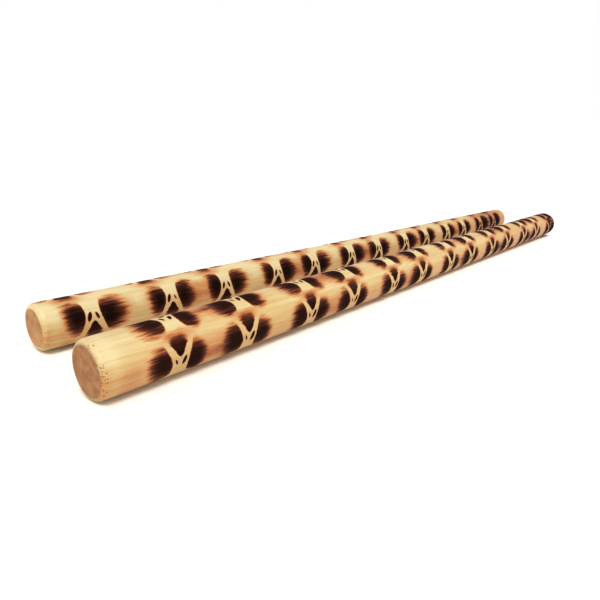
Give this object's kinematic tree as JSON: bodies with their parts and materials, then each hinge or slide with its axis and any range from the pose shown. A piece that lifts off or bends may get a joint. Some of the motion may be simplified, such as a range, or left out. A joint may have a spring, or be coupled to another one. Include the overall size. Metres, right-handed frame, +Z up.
{
  "type": "pair of training sticks",
  "caption": "Pair of straight round rattan training sticks with flat ends, rounded edges and a scorched pattern, lying side by side.",
  "frame": {"origin": "on the resting surface, under the middle of the pair's bounding box", "axes": "+Z up; +X along the right stick, from the ends nearest the viewer to the far ends; +Y from the right stick towards the left stick"},
  "size_m": [0.669, 0.1036, 0.0295],
  "materials": {
    "scorched_rattan": "peeled rattan, pale straw to tan, satin varnish, dark scorched ornament burnt through a stencil, bare brown end grain"
  },
  "bodies": {
    "right_stick": {"right_stick": "scorched_rattan"},
    "left_stick": {"left_stick": "scorched_rattan"}
  },
  "joints": [
    {"name": "left_stick_lift", "type": "slide", "parent": "right_stick", "child": "left_stick", "axis": [0, 0, 1], "range_m": [0, 0.3]}
  ]
}
